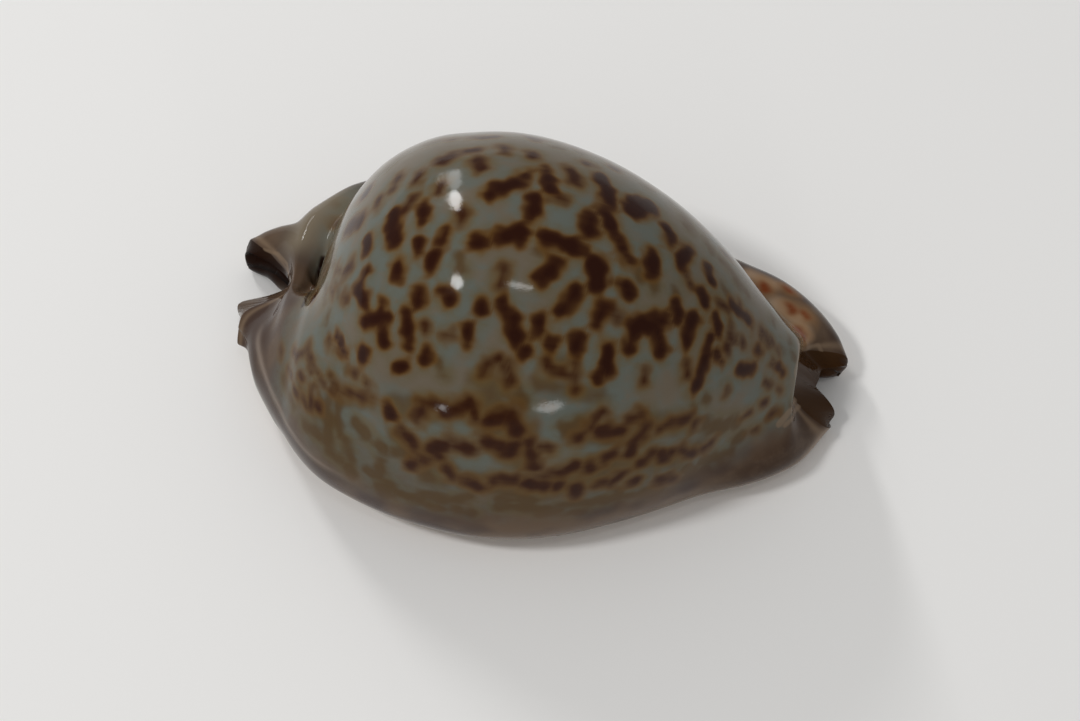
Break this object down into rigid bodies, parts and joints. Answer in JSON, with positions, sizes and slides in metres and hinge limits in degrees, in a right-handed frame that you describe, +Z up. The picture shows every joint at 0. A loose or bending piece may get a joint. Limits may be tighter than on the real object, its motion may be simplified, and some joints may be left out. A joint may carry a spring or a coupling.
{
  "type": "cowrie shell",
  "caption": "Glossy egg-shaped sea shell with a humped spotted back, a flat toothed base and a notch at each end.",
  "frame": {"origin": "on the resting plane, below the middle of the shell's length and width", "axes": "+X towards the front (siphon) end, +Y towards the inner-lip side, +Z up through the back"},
  "size_m": [0.0636, 0.0408, 0.0311],
  "materials": {
    "shell": "glossy natural shell enamel, spotted"
  },
  "bodies": {
    "root": {"shell": "shell"}
  },
  "joints": []
}
